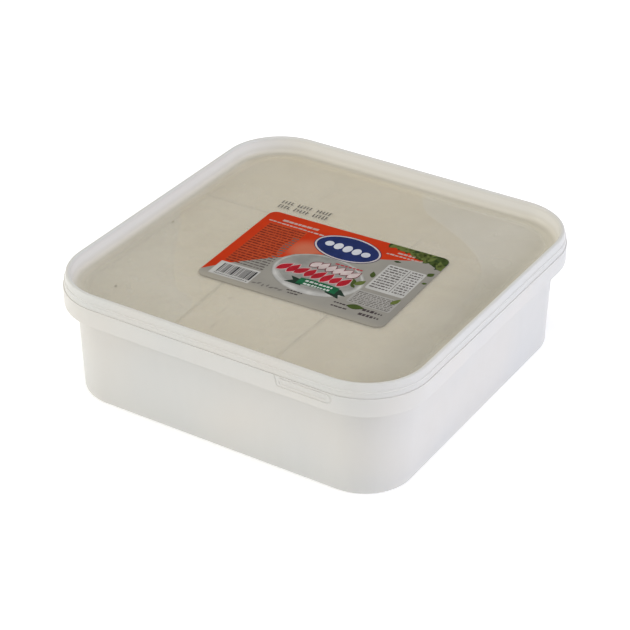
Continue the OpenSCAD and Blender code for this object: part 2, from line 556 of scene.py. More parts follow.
def cheese_look():
    """Pressed white cheese: ivory, close-grained, with fine pits and a little glow."""
    finish = Finish("cheese", roughness=0.5, ior=1.38)
    clouds = finish.patches(28, 0.3, 0.7, detail=3.0)
    body = finish.mix(clouds, CHEESE_PALE, CHEESE_DEEP)
    grain = finish.noise(3.5, detail=4.0, seed=2.0)
    pits = finish.range(grain, 0.55, 0.75, 0.0, 0.35)
    finish.feed("Base Color", finish.mix(pits, body, CHEESE_PIT))
    finish.feed("Roughness", finish.range(grain, 0.3, 0.7, 0.4, 0.6))
    finish.bump(grain, depth=0.4, strength=0.5)
    finish.spread(0.35, (3.5, 2.6, 1.6))
    return finish.material


def ink(name, rgb, other=None, roughness=0.4, size=6.0):
    """Printed colour under the label's film, slightly uneven."""
    finish = Finish("ink_" + name, roughness, gloss=INK_GLOSS)
    other = other or tuple(0.9 * value for value in rgb)
    blots = finish.patches(size, 0.35, 0.65, detail=3.0)
    finish.feed("Base Color", finish.mix(blots, rgb, other))
    finish.bump(finish.noise(22, detail=1.0), depth=0.25, strength=0.3)
    return finish


def grey_ink():
    """The label's grey ground, which is paler towards its near edge."""
    finish = ink("grey", (146, 143, 134), (139, 136, 128), size=20)
    plain = finish.shader.inputs["Base Color"].links[0].from_socket
    low = LABEL_LOW.y * MM
    # Paler towards the near edge
    thin = finish.range(finish.height("Y"), low, low + 0.011, 0.75, 0.0, smooth=True)
    finish.feed("Base Color", finish.mix(thin, plain, GREY_NEAR_EDGE))
    return finish


def orange_ink():
    """The big red-orange field, with a pale glow where it meets the grey."""
    finish = ink("orange", ORANGE, ORANGE_DEEP, size=14.0)
    mapping = finish.add("ShaderNodeMapping", vector_type="TEXTURE")
    x, y = on_label(*GLOW_AT)
    mapping.inputs["Location"].default_value = (x * MM, y * MM, PANEL_Z * MM)
    mapping.inputs["Scale"].default_value = [GLOW_R * MM] * 3
    finish.link(finish.coordinates, mapping.inputs["Vector"])
    ball = finish.add("ShaderNodeTexGradient", gradient_type="SPHERICAL")
    finish.link(mapping.outputs["Vector"], ball.inputs["Vector"])
    plain = finish.shader.inputs["Base Color"].links[0].from_socket
    glow = finish.range(ball.outputs["Fac"], 0.0, 0.75, 0.0, 0.85, smooth=True)
    finish.feed("Base Color", finish.mix(glow, plain, GLOW))
    return finish


def floor_look():
    """Plain white floor."""
    finish = Finish("floor", roughness=0.9)
    grain = finish.patches(300, 0.0, 1.0, 0.0, 0.05, detail=1.0)
    finish.feed("Base Color", finish.mix(grain, (0.93, 0.93, 0.93, 1), (0.9, 0.9, 0.9, 1)))
    finish.shader.inputs["Emission Color"].default_value = (1, 1, 1, 1)
    finish.shader.inputs["Emission Strength"].default_value = FLOOR_GLOW
    return finish.material


# --- the tub

def tub_section():
    """The tub's wall from the middle of the underside, over the rim, to the middle inside."""
    wall_step = (WALL_OUT - FOOT_OUT) / LEDGE_Z
    inner_foot = FOOT_OUT - TUB_T
    inner_top = inner_foot + wall_step * LEDGE_Z
    collar_in = COLLAR_OUT - COLLAR_T
    ledge_under = LEDGE_Z - TUB_T
    return rounded(
        [(CORNER, FOOT_RISE, 0)]
        + stretch((CORNER, FOOT_RISE), (FOOT_OUT - FOOT_W, FOOT_RISE), 5)
        + [
            (FOOT_OUT - FOOT_W - FOOT_RISE, FOOT_RISE, 0.4),
            (FOOT_OUT - FOOT_W, 0, 0.4),
            (FOOT_OUT - 0.05, 0, FOOT_R),
        ]
        + stretch((FOOT_OUT, 0), (WALL_OUT, ledge_under), 16)
        + [
            (WALL_OUT, ledge_under, 0.4),
            (RISE_OUT, ledge_under, 0.4),
            (RISE_OUT, SEAM_Z - COLLAR_T, 0.4),
            (collar_in, SEAM_Z - COLLAR_T, 0.4),
            (collar_in, COLLAR_Z, 0.3),
            (COLLAR_OUT, COLLAR_Z, 0.5),
        ]
        + stretch((COLLAR_OUT, COLLAR_Z), (COLLAR_OUT, SEAM_Z), 4)
        + [
            (COLLAR_OUT, SEAM_Z, 0.15),
            (RISE_OUT, SEAM_Z, 0.3),
            (RISE_OUT, RISE_Z, 0.5),
            (RISE_IN, RISE_Z, 0.5),
            (RISE_IN, LEDGE_Z, 0.4),
            (inner_top, LEDGE_Z, 0.5),
        ]
        + stretch((inner_top, LEDGE_Z), (inner_foot, FLOOR_Z), 10)
        + [(inner_foot, FLOOR_Z, INNER_R)]
        + stretch((inner_foot, FLOOR_Z), (CORNER, FLOOR_Z), 5)
        + [(CORNER, FLOOR_Z, 0)]
    )


# How far the walls bend inwards at most
WALL_WARP = 0.5


def warp_walls(bm):
    """The thin walls of a real moulding are never quite flat."""
    for v in bm.verts:
        upright = min(1.0, v.co.z / 12) * min(1.0, max(0.0, COLLAR_Z - v.co.z) / 8)
        if upright <= 0 or half_at(v.co.x, v.co.y) < FOOT_OUT - 3 * TUB_T:
            continue
        dent = 0.5 + 0.5 * noise.noise(v.co / 55)
        outward = Vector((v.co.x, v.co.y, 0)).normalized()
        v.co -= outward * (WALL_WARP * dent * upright)


def tube(bm, path, radius, sides=10):
    """A closed round bar that follows a path in the XZ plane."""
    rings = []
    for i, p in enumerate(path):
        ahead = (path[min(i + 1, len(path) - 1)] - path[max(i - 1, 0)]).normalized()
        across = Vector((-ahead.z, 0, ahead.x))
        ring = []
        for k in range(sides):
            a = 2 * math.pi * k / sides
            aside = math.cos(a) * across + math.sin(a) * Vector((0, 1, 0))
            ring.append(bm.verts.new(p + radius * aside))
        rings.append(ring)
    for low, high in zip(rings, rings[1:]):
        for k in range(sides):
            j = (k + 1) % sides
            bm.faces.new((low[k], low[j], high[j], high[k]))
    bm.faces.new(rings[0])
    bm.faces.new(list(reversed(rings[-1])))


def tab_path():
    """The groove round the tear tab: a slanted end, a straight foot, a round end and a top."""
    left = TAB_X - TAB_W / 2
    right = TAB_X + TAB_W / 2
    foot = SEAM_Z - TAB_H
    top = SEAM_Z - 1.0
    y = -COLLAR_OUT - 0.12
    corners = rounded(
        [
            (left, SEAM_Z + 1, 0),
            (left + 2.0, foot, 1.0),
            (right, foot, 2.7),
            (right, top, 2.7),
            (left + 4.0, top, 0),
        ],
        steps=10,
        guard=0,
    )
    return [Vector((x, y, z)) for x, z in corners]


def tab_pocket(bm):
    """The shallow hollow in the tab's face, with sloping sides."""
    left = TAB_X - TAB_W / 2
    right = TAB_X + TAB_W / 2 - 1.4
    foot = SEAM_Z - TAB_H + 1.2
    top = SEAM_Z - 2.0
    outline = rounded(
        [(left + 2.2, top, 0.6), (left + 3.4, foot, 0.6), (right, foot, 1.5), (right, top, 1.5)],
        guard=0,
    )
    middle = sum(outline, Vector((0, 0))) / len(outline)
    front = [bm.verts.new((p.x, -COLLAR_OUT - 0.2, p.y)) for p in outline]
    back = []
    for p in outline:
        inset = middle + Vector(((p.x - middle.x) * 0.96, (p.y - middle.y) * 0.6))
        back.append(bm.verts.new((inset.x, -COLLAR_OUT + 0.35, inset.y)))
    bm.faces.new(front)
    bm.faces.new(list(reversed(back)))
    for i in range(len(outline)):
        j = (i + 1) % len(outline)
        bm.faces.new((front[i], back[i], back[j], front[j]))


def carve(obj, cutter_bm):
    """Takes a closed shape away from a piece."""
    cutter = to_object("cutter", cutter_bm)
    cut = obj.modifiers.new("cut", "BOOLEAN")
    cut.operation = "DIFFERENCE"
    cut.solver = "EXACT"
    cut.object = cutter
    settle(obj)
    bpy.data.objects.remove(cutter)


def make_tub():
    bm = swept(tub_section())
    warp_walls(bm)
    add_gate_mark(bm)
    tub = to_object("tub_shell", bm)
    groove = bmesh.new()
    tube(groove, tab_path(), radius=0.45)
    carve(tub, groove)
    pocket = bmesh.new()
    tab_pocket(pocket)
    carve(tub, pocket)
    dress(tub, tub_plastic(), "tub_plastic", "tub")
    shade(tub.data, angle=TUB_SHARP)


GATE_R = 14
GATE_RISE = 0.25


def add_gate_mark(bm):
    """The small dimple in the middle of the underside, where the plastic went in."""
    for v in bm.verts:
        reach = math.hypot(v.co.x, v.co.y)
        if reach < GATE_R and v.co.z < FLOOR_Z - 0.5:
            v.co.z += GATE_RISE * (1 + math.cos(math.pi * reach / GATE_R)) / 2


# --- the lid

LID_LIP_T = 0.9


def lid_section():
    """The lid from the middle of the panel's top, over the crest, to the middle below."""
    bead_out = LID_OUT - 0.05
    return rounded(
        [(CORNER, PANEL_Z, 0)]
        + stretch((CORNER, PANEL_Z), (PANEL_OUT - 3.4, PANEL_Z), 16)
        + [(PANEL_OUT, PANEL_Z, 3.2)]
        + stretch((PANEL_OUT, PANEL_Z), (CREST_IN, TOP_Z), 4)[1:]
        + [
            (CREST_IN, TOP_Z, 1.15),
            (CREST_OUT, TOP_Z, 1.15),
            (LID_OUT - 0.75, BEAD_Z + 0.8, 0.5),
            (bead_out, BEAD_Z + 0.2, 0.5),
            (LID_OUT - 0.45, BEAD_Z - 0.7, 0.6),
            (LID_OUT - 0.1, SEAM_Z + 1.2, 0.8),
            (LID_OUT, SEAM_Z + 0.01, 0.03),
            (LID_OUT - LID_LIP_T, SEAM_Z + 0.01, 0.03),
            (CREST_OUT - 0.45, BEAD_Z, 0.4),
            (CREST_OUT - 0.45, TOP_Z - 1.6, 0.6),
            (CREST_IN + 0.4, TOP_Z - 1.6, 0.6),
            (PANEL_OUT + 0.85, PANEL_UNDER_Z, 0.9),
        ]
        + stretch((PANEL_OUT + 0.85, PANEL_UNDER_Z), (CORNER, PANEL_UNDER_Z), 12)
        + [(CORNER, PANEL_UNDER_Z, 0)]
    )


# How far in from the panel's edge, and up the recess's wall, the milky rim fades out
FADE_IN = 10.0
FADE_UP = 12.0
# How high the painted shade at the foot of the recess's wall reaches
FOOT_SHADE_TOP = PANEL_Z + 5.0


def clear_at(place):
    """How clear the lid looks at a place: none over the tub's rim, full over the cheese."""
    inwards = (PANEL_OUT + 0.8 - half_at(place.x, place.y)) / FADE_IN
    upwards = max(0.0, place.z - PANEL_Z) / FADE_UP
    share = clamp(inwards - upwards)
    return 1 - (1 - share) ** 1.8


def recess_at(place):
    """One on the recess's wall, which gets painted light, and none on the crest, which faces the
    sky.
    """
    inwards = clamp((CREST_IN + 0.7 - half_at(place.x, place.y)) / 0.7)
    below = clamp((TOP_Z - place.z) / 1.5)
    return inwards * below


def foot_shade_at(place):
    """One at the foot of the recess's wall, where brine shows through and painted shade darkens
    it, and none above it.
    """
    share = clamp((FOOT_SHADE_TOP - place.z) / (FOOT_SHADE_TOP - PANEL_Z))
    return recess_at(place) * share * share * (3 - 2 * share)


def make_lid():
    bm = swept(lid_section())
    for v in bm.verts:
        if half_at(v.co.x, v.co.y) < PANEL_OUT:
            v.co.z -= sag_at(v.co.x, v.co.y)
    lid = to_object("lid_shell", bm)
    paint(lid, "clear", clear_at)
    paint(lid, "recess", recess_at)
    paint(lid, "foot", foot_shade_at)
    return dress(lid, lid_plastic(), "lid_plastic", "lid")


# --- the cheese

VOXEL = 0.0015


def make_cheese(node, look, seed):
    """A block cut from the slab: softened edges, a waved skin and small pits."""
    bm = bmesh.new()
    bm.from_mesh(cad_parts[node].data)
    bmesh.ops.remove_doubles(bm, verts=bm.verts, dist=1e-6)
    bmesh.ops.scale(bm, vec=(1 / MM, 1 / MM, 1 / MM), verts=bm.verts)
    block = to_object(node + "_block", bm)
    remesh = block.modifiers.new("soften", "REMESH")
    remesh.mode = "VOXEL"
    remesh.voxel_size = VOXEL
    settle(block)
    low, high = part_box(node)
    shift = Vector((seed * 31.7, seed * 17.3, 0))
    outward = [v.normal.copy() for v in block.data.vertices]
    for v, normal in zip(block.data.vertices, outward):
        place = v.co / MM + shift
        skin = 0.5 + 0.5 * noise.noise(place / 9)
        pit = max(0.0, noise.noise(place / 3.2) - 0.42)
        inward = 0.35 * skin + 1.6 * pit
        v.co -= normal * inward * MM
        if v.co.z > high.z - 3 * MM:
            v.co.z -= sag_at(v.co.x / MM, v.co.y / MM) * MM
        v.co = Vector(max(l, min(h, c)) for c, l, h in zip(v.co, low, high))
    return dress(block, look, "cheese", node)


# --- brine under the panel

FILM_HALF = 113.8
FILM_TOP = PANEL_UNDER_Z - 0.04
FILM_T = 0.06
# Where the wet patch ends: on the left block, and on the far right of the pack
SHORE_LEFT = [(-113, 12), (-100, -5), (-88, -27), (-72, -52), (-56, -71), (-38, -80), (-36, -108)]
SHORE_RIGHT = [(112, -32), (101, -26), (97, 10), (88, 44), (70, 64), (44, 80), (22, 92), (9, 112)]
# The mark beside the left long cut
SMEAR_LINE = [(-30, -52), (-22, -65), (-16, -84), (-13, -98)]


def cut(x, y, lean, first, last):
    """A cut through a place, leaning from the Y axis by some degrees, between two distances."""
    turn = math.radians(lean)
    return Vector((x, y)), Vector((-math.sin(turn), math.cos(turn))), first, last


CUTS = (cut(-39.5, 0, 3, -112, 40), cut(37, 0, -1, -112, 60), cut(-112, 37, -90, 0, 73))
# The width of the strips of painted shade along the cuts
CUT_LINE = 0.45


def make_cut_shade():
    """Painted shade in the mouths of the knife cuts, where brine lies: dark strips of uneven
    width.
    """
    lines = []
    for start, along, first, last in CUTS:
        aside = Vector((-along.y, along.x))
        left = []
        right = []
        for at in range(first, last + 1, 4):
            place = start + along * at
            half = 0.5 * CUT_LINE * (0.7 + 0.9 * noise.noise(Vector((place.x, place.y, 0)) / 14))
            left.append(place + aside * max(0.06, half))
            right.append(place - aside * max(0.06, half))
        lines.append([tuple(p) for p in left + right[::-1]])
    bm = slabs(lines, PANEL_UNDER_Z - 0.035, PANEL_UNDER_Z - 0.015, place=as_is)
    dice(bm, DICE)
    sag(bm)
    return dress(to_object("cut_shade", bm), ink("cut_shade", (100, 92, 74)).material, "cheese")


# Two dark specks under the lid, and their radius
SPECKS = ((-87.3, -90.2), (-104.7, -7.0))
SPECK_R = 0.6


def make_specks():
    """Small dark crumbs caught under the lid, as uneven flat grains."""
    grains = []
    for k, (x, y) in enumerate(SPECKS):
        outline = []
        for i in range(9):
            a = 2 * math.pi * i / 9
            reach = SPECK_R * (1 + 0.3 * math.sin(2.3 * i + k))
            outline.append((x + reach * math.cos(a), y + 1.3 * reach * math.sin(a)))
        grains.append(outline)
    bm = slabs(grains, PANEL_Z - 0.02, PANEL_Z + 0.04, place=as_is)
    sag(bm)
    return dress(to_object("specks", bm), ink("specks", (132, 126, 110)).material, "cheese")


def make_brine():
    section = rounded(
        [(CORNER, FILM_TOP, 0)]
        + stretch((CORNER, FILM_TOP), (FILM_HALF, FILM_TOP), 16)
        + [(FILM_HALF, FILM_TOP, 0), (FILM_HALF, FILM_TOP - FILM_T, 0)]
        + stretch((FILM_HALF, FILM_TOP - FILM_T), (CORNER, FILM_TOP - FILM_T), 16)
        + [(CORNER, FILM_TOP - FILM_T, 0)]
    )
    bm = swept(section)
    sag(bm)
    film = to_object("brine_film", bm)
    left = smooth_line(SHORE_LEFT)
    right = smooth_line(SHORE_RIGHT)
    far = 200
    round_right = [Vector((far, -far)), Vector((far, -32))]
    round_back = [Vector((9, far)), Vector((-far, far)), Vector((-far, 12))]
    wet = left + round_right + right + round_back
    smear = smooth_line(SMEAR_LINE)

    def shore(place):
        spot = place.to_2d()
        reach = min(distance_to(spot, left), distance_to(spot, right))
        return reach if inside(spot, wet) else -reach

    paint(film, "shore", shore)
    paint(film, "edge", lambda place: half_at(place.x, place.y))
    paint(film, "smear", lambda place: distance_to(place.to_2d(), smear))
    return dress(film, brine_look(), "cheese")


# --- the label

LABEL_AT = Vector(((LABEL_LOW.x + LABEL_HIGH.x) / 2, (LABEL_LOW.y + LABEL_HIGH.y) / 2))
PRINT_T = 0.012
DICE = 9.0


def on_label(u, v):
    """A place on the label, from its middle, as a place on the panel. All in millimetres."""
    c = math.cos(LABEL_TURN)
    s = math.sin(LABEL_TURN)
    return LABEL_AT.x + u * c - v * s, LABEL_AT.y + u * s + v * c


def rectangle(left, right, low, high):
    return [(left, low), (right, low), (right, high), (left, high)]


def round_box(left, right, low, high, radius, steps=5):
    """A rectangle with round corners."""
    points = []
    for k, (cx, cy) in enumerate([(right, high), (left, high), (left, low), (right, low)]):
        x = cx - radius if cx == right else cx + radius
        y = cy - radius if cy == high else cy + radius
        for i in range(steps + 1):
            a = (k + i / steps) * math.pi / 2
            points.append((x + radius * math.cos(a), y + radius * math.sin(a)))
    return points


def ellipse(u, v, a, b, turn=0.0, steps=40):
    angles = [2 * math.pi * k / steps for k in range(steps)]
    return turned(u, v, [(a * math.cos(angle), b * math.sin(angle)) for angle in angles], turn)


def leaf(u, v, length, width, turn, steps=7):
    """A pointed leaf with its middle at a place."""
    side = []
    for k in range(steps + 1):
        t = k / steps
        side.append((length * (t - 0.5), width / 2 * math.sin(math.pi * t ** 0.85)))
    outline = side + [(x, -y) for x, y in reversed(side[1:-1])]
    return turned(u, v, outline, turn)


def clipped(outline, frame_outline):
    """The part of an outline that lies inside a convex outline that runs anticlockwise."""
    result = [Vector(p) for p in outline]
    for a, b in zip(frame_outline, frame_outline[1:] + frame_outline[:1]):
        edge = Vector(b) - Vector(a)
        if edge.length < 1e-6:
            continue
        kept = []
        for p, q in zip(result, result[1:] + result[:1]):
            side_p = edge.cross(p - Vector(a))
            side_q = edge.cross(q - Vector(a))
            if side_p >= 0:
                kept.append(p)
            if (side_p >= 0) != (side_q >= 0):
                kept.append(p.lerp(q, side_p / (side_p - side_q)))
        result = kept
        if len(result) < 3:
            return []
    return result


def dice(bm, pitch):
    """Cuts a mesh along a grid, so that flat shapes can follow the panel."""
    for axis in ((1, 0, 0), (0, 1, 0)):
        reach = PANEL_OUT
        at = -reach
        while at < reach:
            geometry = bm.verts[:] + bm.edges[:] + bm.faces[:]
            bmesh.ops.bisect_plane(bm, geom=geometry, plane_co=Vector(axis) * at, plane_no=axis)
            at += pitch


def as_is(x, y):
    return x, y


def slabs(outlines, low, high, place=on_label):
    """Flat closed shapes between two heights, with their outlines on the label or elsewhere."""
    bm = bmesh.new()
    for outline in outlines:
        places = [place(*p) for p in outline]
        top = [bm.verts.new((x, y, high)) for x, y in places]
        bottom = [bm.verts.new((x, y, low)) for x, y in places]
        bm.faces.new(top)
        bm.faces.new(list(reversed(bottom)))
        for i in range(len(places)):
            j = (i + 1) % len(places)
            bm.faces.new((top[i], bottom[i], bottom[j], top[j]))
    return bm


def laid(name, outlines, level, look, whole=False, nodes=()):
    """A layer of print: its height above the label grows with its level."""
    base = PANEL_Z + LABEL_T
    low = PANEL_Z if whole else base - PRINT_T
    bm = slabs([o for o in outlines if len(o) > 2], low, base + level * PRINT_T)
    dice(bm, DICE)
    sag(bm)
    return dress(to_object(name, bm), look.material, "label_print", *nodes)


def printed(name, outlines, level, rgb, other=None, size=6.0):
    """A layer of print in an ink of its own."""
    laid("print_" + name, outlines, level, ink(name, rgb, other, size=size))


def dashes(rng, left, right, v, height, long, gap, turn=0.0, keep=1.0):
    """A line of print too small to read: short bars of uneven length. Keep is the share drawn."""
    shapes = []
    u = left
    while u < right - 0.3:
        length = min(rng.uniform(*long), right - u)
        if rng.random() < keep:
            rise = math.tan(math.radians(turn)) * (u - left)
            tall = height * rng.uniform(0.75, 1.0)
            low, high = v + rise, v + rise + tall
            lean = 0.1 * tall
            shapes.append([(u, low), (u + length, low),
                           (u + length + lean, high), (u + lean, high)])
        u += length + rng.uniform(*gap)
    return shapes


# The lower edge of the orange field
ORANGE_EDGE = [(-66, -42), (-57.5, -31), (-49.9, -22.5), (-33.3, -7.1), (-13.3, 8.3), (5, 17.5),
               (25.1, 25), (44.2, 33.7), (66, 42.5)]
GLOW_AT = (-19.5, 11.5)
GLOW_R = 16.5
LABEL_SHAPE = round_box(-LABEL_W / 2, LABEL_W / 2, -LABEL_D / 2, LABEL_D / 2, LABEL_R, steps=8)


def edge_height(u):
    """The height of the orange field's edge at a place across the label."""
    for (u0, v0), (u1, v1) in zip(ORANGE_EDGE, ORANGE_EDGE[1:]):
        if u <= u1:
            return v0 + (v1 - v0) * (u - u0) / (u1 - u0)
    return ORANGE_EDGE[-1][1]


def make_fields():
    """The label's film and its large fields of colour."""
    laid("label_film", [LABEL_SHAPE], 0, grey_ink(), whole=True, nodes=("label",))
    field = [tuple(p) for p in smooth_line(ORANGE_EDGE, 5)] + [(66, 60), (-66, 60)]
    laid("print_orange", [clipped(field, LABEL_SHAPE)], 1, orange_ink())
    left, right, top = -57, -30, 31.6
    lower = [(u, max(-22.6, edge_height(u) + 0.2)) for u in range(left, right + 1, 3)]
    printed("panel", [lower + [(right, top), (left, top)]], 2, (178, 70, 34), (170, 62, 28))
    boxes = [rectangle(-57.8, -29.9, -40.5, -24.6), round_box(33, 58.8, -9.4, 22.5, 1.4)]
    printed("boxes", boxes, 2, (186, 185, 180), (177, 176, 171), size=8)
    note = round_box(30.9, 59.7, -28.4, -13, 1.4)
    printed("note", [note], 2, (160, 158, 152), (153, 151, 145))


# The plate's colours, in steps that give it soft edges
PLATE_STEPS = 3
PLATE_AT = (1.7, -10.5)
PLATE_TURN = -6
PLATE_SHADE = (150, 148, 140)
PLATE_RIM = (190, 189, 184)
PLATE_WELL = (146, 145, 139)


def make_plate():
    """The plate behind the words: a flat oval with a paler rim, brightest at its near side."""
    u, v = PLATE_AT
    for step in range(PLATE_STEPS):
        share = step / (PLATE_STEPS - 1)
        rgb = [a + (b - a) * share for a, b in zip(PLATE_SHADE, PLATE_RIM)]
        rim = ellipse(u, v - 0.2 * step, 31 - 0.7 * step, 23.7 - 0.7 * step, PLATE_TURN)
        printed("plate_rim_%d" % step, [rim], 1 + step, rgb)
    for step in range(PLATE_STEPS):
        share = (step + 1) / PLATE_STEPS
        rgb = [a + (b - a) * share for a, b in zip(PLATE_RIM, PLATE_WELL)]
        well = ellipse(u - 0.4, v + 1.0 + 0.5 * step, 28.6 - 0.6 * step, 20.6 - 0.7 * step,
                       PLATE_TURN)
        printed("plate_%d" % step, [well], 1 + PLATE_STEPS + step, rgb)


def make_small_print():
    """Every line of text becomes uneven dashes, and numbers become bars."""
    rng = random.Random(11)
    red_lines = []
    grey_lines = []
    black_lines = []
    v = 28.8
    while v > -23:
        for dash in dashes(rng, -56.8, -30.2, v, 1.35, (1.0, 4.2), (0.4, 0.8)):
            u = dash[0][0]
            if v < edge_height(u):
                grey_lines.append(dash)
            elif u > -36 and v < 22:
                black_lines.append(dash)
            else:
                red_lines.append(dash)
        v -= 2.85
    printed("red_lines", red_lines, 3, (116, 32, 14))
    for row in range(8):
        grey_lines += dashes(rng, 32.4, 58.4, -15.2 - 1.72 * row, 0.8, (0.8, 3.2), (0.4, 0.9))
    printed("grey_lines", grey_lines, 3, (98, 92, 88))
    for row in range(10):
        low = 19.6 - 2.9 * row
        black_lines += dashes(rng, 34.4, 46.6, low, 1.5, (0.8, 3.6), (0.4, 0.7))
        black_lines += dashes(rng, 49.6, 57.8, low, 1.5, (0.7, 2.2), (0.4, 0.9))
    black_lines.append(rectangle(48.0, 48.35, -7, 21.4))
    printed("black_lines", black_lines, 3, (96, 90, 88))


def make_headings():
    """Pale heading bars at the top left and top right."""
    rng = random.Random(23)
    pale = []
    pale += dashes(rng, -51.5, -25, 36.6, 2.3, (2.0, 4.2), (0.4, 0.7))
    pale += dashes(rng, -59.6, -17, 33.4, 1.5, (1.4, 3.6), (0.4, 0.8), turn=-1.6)
    pale += dashes(rng, 31, 53, 36.4, 2.0, (1.6, 3.6), (0.4, 0.8))
    pale += dashes(rng, 25, 49, 33.0, 1.5, (1.4, 3.2), (0.4, 0.8), turn=1.0)
    printed("pale", pale, 4, (186, 168, 160), (172, 148, 140))
    small = dashes(rng, 4.2, 22.6, 5.9, 1.7, (1.4, 3.0), (0.5, 0.9), turn=1.5)
    printed("red_dashes", small, 8, (176, 66, 70))


def make_barcode():
    """Bars of uneven width, which spell nothing."""
    rng = random.Random(5)
    bars = []
    u = -54.4
    while u < -31.4:
        wide = rng.choice((0.5, 0.5, 0.9, 1.3))
        bars.append(rectangle(u, u + wide, -37.2, -26.3))
        u += wide + rng.choice((0.4, 0.4, 0.6, 0.9))
    bars += dashes(rng, -54.6, -31.2, -39.4, 1.2, (0.5, 0.9), (0.6, 1.0))
    printed("bars", bars, 3, (38, 34, 38))


# Each row: its left and right end, its height on the label, how tall, bar lengths, gaps, turn
WEIGHT_ROWS = (
    (25.4, 36.7, -33.3, 1.5, (1.2, 2.6), (0.4, 0.7), -1),
    (25.4, 36.7, -37.3, 1.5, (1.2, 2.6), (0.4, 0.7)),
    (44.2, 53.6, -33.3, 2.6, (1.6, 2.6), (0.5, 0.8)),
    (44.2, 53.6, -38.4, 2.6, (1.6, 2.6), (0.5, 0.8)),
    (54.6, 58, -33.0, 1.8, (0.8, 1.2), (0.8, 1.0)),
    (54.6, 58, -38.0, 1.8, (0.8, 1.2), (0.8, 1.0)),
    (-6, 4.5, -35.0, 1.2, (1.2, 2.6), (0.4, 0.6)),
    (-4, 3.5, -37.6, 1.2, (1.2, 2.6), (0.4, 0.6)),
)


def make_weights():
    """The numbers at the lower right, as plain bars, and a thin line of marks."""
    rng = random.Random(31)
    marks = []
    for row in WEIGHT_ROWS:
        marks += dashes(rng, *row)
    printed("weights", marks, 4, (70, 62, 62))
    faint = []
    for u in range(-27, -6, 3):
        faint.append(leaf(u, -37 + 0.6 * math.sin(u), 3.4, 1.3, 50 + 40 * math.sin(1.7 * u)))
    printed("faint", faint, 4, (112, 108, 102))


OVAL_AT = (1.9, 25.8)
OVAL_A = 21.4
OVAL_B = 13.0
# From the lowest up: how much each is larger than the blue oval, and its inks
OVALS = (
    ("oval_edge", 1.6, (62, 50, 80)),
    ("oval_rim", 1.1, (200, 192, 192)),
    ("oval", 0, (30, 44, 96), (24, 38, 84)),
)
DISCS = 5
DISC_PITCH = 6.6


def make_crest():
    """The oval at the top of the label, with a row of plain discs in place of a name."""
    u, v = OVAL_AT
    for level, (name, grow, *inks) in enumerate(OVALS, 8):
        printed(name, [ellipse(u, v, OVAL_A + grow, OVAL_B + grow, -4)], level, *inks)
    discs = []
    for k in range(DISCS):
        off = k - (DISCS - 1) / 2
        along = off * DISC_PITCH
        discs.append(ellipse(u + along, v - 0.07 * along, 2.9, 4.1 - 0.28 * abs(off) ** 2))
    printed("discs", discs, 11, (202, 204, 208), (190, 193, 200))


def petals(rng, left, right, low, high, count, grow):
    """A row of slanted drops of uneven size, each a little larger by grow."""
    shapes = []
    for k in range(count):
        u = left + (right - left) * (k + 0.5) / count
        middle = (low + high) / 2 + rng.uniform(-0.6, 0.6)
        tall = (high - low) * rng.uniform(0.72, 1.0)
        wide = (right - left) / count * 0.78
        shapes.append(leaf(u, middle, tall + grow, wide + grow, 68 + rng.uniform(-14, 10)))
    return shapes


def make_name_rows():
    """Two rows of drops in the colours of the product's name."""
    upper = (41, -8, 23.4, -5, 5.0, 6)
    lower = (43, -24, 23, -17, -4.6, 8)
    layers = (
        ("row_edge", upper, 2.6, (110, 44, 54)),
        ("row_fill", upper, 1.1, (202, 186, 182)),
        ("row_rim", lower, 2.4, (196, 164, 162)),
        ("row_red", lower, 0.9, (168, 24, 40)),
    )
    for level, (name, (seed, *place), grow, rgb) in enumerate(layers, 8):
        printed(name, petals(random.Random(seed), *place, grow), level, rgb)


def ribbon_arc(left, right, v, thick, rise):
    """A band that rises in its middle."""
    steps = 12
    top = []
    for k in range(steps + 1):
        t = k / steps
        bow = rise * 4 * t * (1 - t)
        top.append((left + (right - left) * t, v + bow))
    return top + [(u, w - thick) for u, w in reversed(top)]


def make_ribbon():
    """The green ribbon: a bowed band with two folded tails and a line of pale dashes."""
    tails = [
        [(-11.8, -19.0), (-3, -20.4), (-1.4, -26.6), (-12.6, -26.6), (-8.6, -22.8)],
        [(15, -20.8), (22.6, -19.2), (28.2, -24.6), (23.8, -25.2), (25.6, -29.0), (15, -26.2)],
    ]
    printed("ribbon_tails", tails, 8, (30, 50, 38))
    band = ribbon_arc(-5.4, 21.3, -18.2, 7.4, 0.9)
    printed("ribbon", [band], 9, (24, 98, 62), (18, 80, 48))
    rng = random.Random(53)
    pale = dashes(rng, -1.4, 17, -21.0, 2.0, (1.4, 2.6), (0.5, 0.8))
    pale += dashes(rng, -1.0, 17, -24.4, 1.9, (1.2, 2.4), (0.5, 0.8))
    printed("ribbon_dashes", pale, 10, (200, 206, 200))


LEAVES = 95


